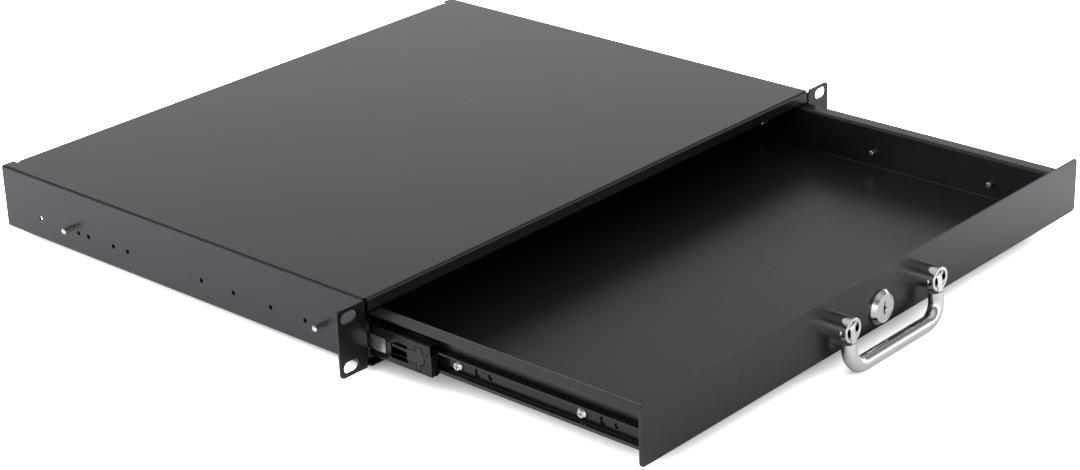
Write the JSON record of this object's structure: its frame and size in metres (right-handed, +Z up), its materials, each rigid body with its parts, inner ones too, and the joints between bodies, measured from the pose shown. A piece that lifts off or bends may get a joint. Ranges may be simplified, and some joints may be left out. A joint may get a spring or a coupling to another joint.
{
  "type": "sliding rack drawer",
  "caption": "Low rack-mount sheet-metal drawer with side ears, an open tray on telescopic ball-bearing slides, a cam lock and a hinged bail handle.",
  "frame": {"origin": "centre of the four rack slots, on the back faces of the ears, which is the plane of the rack rails", "axes": "+X to the right seen from the front, +Y to the rear of the rack, +Z up; the drawer opens towards -Y and is modelled partly open"},
  "size_m": [0.4826, 0.5732, 0.0496],
  "materials": {
    "black_powder_coat": "satin black powder coat, very fine grain",
    "black_zinc_strip": "black passivated steel strip with bright sheared edges",
    "zinc_strip": "bright zinc plated thin strip",
    "ball_steel": "polished bearing steel",
    "black_plastic": "moulded black plastic",
    "chrome_plate": "polished chrome plate",
    "zinc_hardware": "bright zinc plate"
  },
  "bodies": {
    "case": {"case_shell": "black_powder_coat", "slide_outer_left": "black_zinc_strip", "slide_outer_right": "black_zinc_strip", "case_screws_left": "zinc_hardware", "case_screws_right": "zinc_hardware"},
    "drawer": {"drawer_tray": "black_powder_coat", "slide_inner_left": "black_zinc_strip", "slide_inner_right": "black_zinc_strip", "tray_screws_left": "zinc_hardware", "tray_screws_right": "zinc_hardware", "handle_post_left": "chrome_plate", "handle_post_right": "chrome_plate", "handle_pin_left": "chrome_plate", "handle_pin_right": "chrome_plate", "handle_screws": "zinc_hardware", "lock_barrel": "chrome_plate", "lock_nut": "zinc_hardware"},
    "middle_left": {"slide_middle_left": "black_zinc_strip", "middle_bumper_left": "black_plastic"},
    "middle_right": {"slide_middle_right": "black_zinc_strip", "middle_bumper_right": "black_plastic"},
    "outer_cage_l": {"outer_cage_left": "zinc_strip", "outer_balls_left": "ball_steel"},
    "outer_cage_r": {"outer_cage_right": "zinc_strip", "outer_balls_right": "ball_steel"},
    "inner_cage_l": {"inner_cage_left": "zinc_strip", "inner_balls_left": "ball_steel"},
    "inner_cage_r": {"inner_cage_right": "zinc_strip", "inner_balls_right": "ball_steel"},
    "handle": {"handle_bail": "chrome_plate"},
    "lock": {"lock_plug": "chrome_plate", "lock_cam": "zinc_hardware", "lock_cam_screw": "zinc_hardware"}
  },
  "joints": [
    {"name": "drawer_slide", "type": "slide", "parent": "case", "child": "drawer", "axis": [0, -1, 0], "range_m": [-0.2105, 0.08]},
    {"name": "middle_left_slide", "type": "slide", "parent": "case", "child": "middle_left", "axis": [0, -1, 0], "range_m": [-0.05523, 0.0213]},
    {"name": "middle_right_slide", "type": "slide", "parent": "case", "child": "middle_right", "axis": [0, -1, 0], "range_m": [-0.05523, 0.0213]},
    {"name": "outer_cage_l_slide", "type": "slide", "parent": "case", "child": "outer_cage_l", "axis": [0, -1, 0], "range_m": [-0.02787, 0.0109]},
    {"name": "outer_cage_r_slide", "type": "slide", "parent": "case", "child": "outer_cage_r", "axis": [0, -1, 0], "range_m": [-0.02787, 0.0109]},
    {"name": "inner_cage_l_slide", "type": "slide", "parent": "case", "child": "inner_cage_l", "axis": [0, -1, 0], "range_m": [-0.13311, 0.0509]},
    {"name": "inner_cage_r_slide", "type": "slide", "parent": "case", "child": "inner_cage_r", "axis": [0, -1, 0], "range_m": [-0.13311, 0.0509]},
    {"name": "handle_hinge", "type": "hinge", "parent": "drawer", "child": "handle", "pos_m": [0, -0.2215, 0.0026], "axis": [-1, 0, 0], "range_deg": [-7, 83]},
    {"name": "lock_turn", "type": "hinge", "parent": "drawer", "child": "lock", "pos_m": [0, -0.202, -0.0024], "axis": [0, 1, 0], "range_deg": [0, 90]}
  ],
  "couplings": [
    {"joint": "middle_left_slide", "follows": "drawer_slide", "ratio": 0.26},
    {"joint": "middle_right_slide", "follows": "drawer_slide", "ratio": 0.26},
    {"joint": "outer_cage_l_slide", "follows": "drawer_slide", "ratio": 0.13},
    {"joint": "outer_cage_r_slide", "follows": "drawer_slide", "ratio": 0.13},
    {"joint": "inner_cage_l_slide", "follows": "drawer_slide", "ratio": 0.63},
    {"joint": "inner_cage_r_slide", "follows": "drawer_slide", "ratio": 0.63}
  ]
}
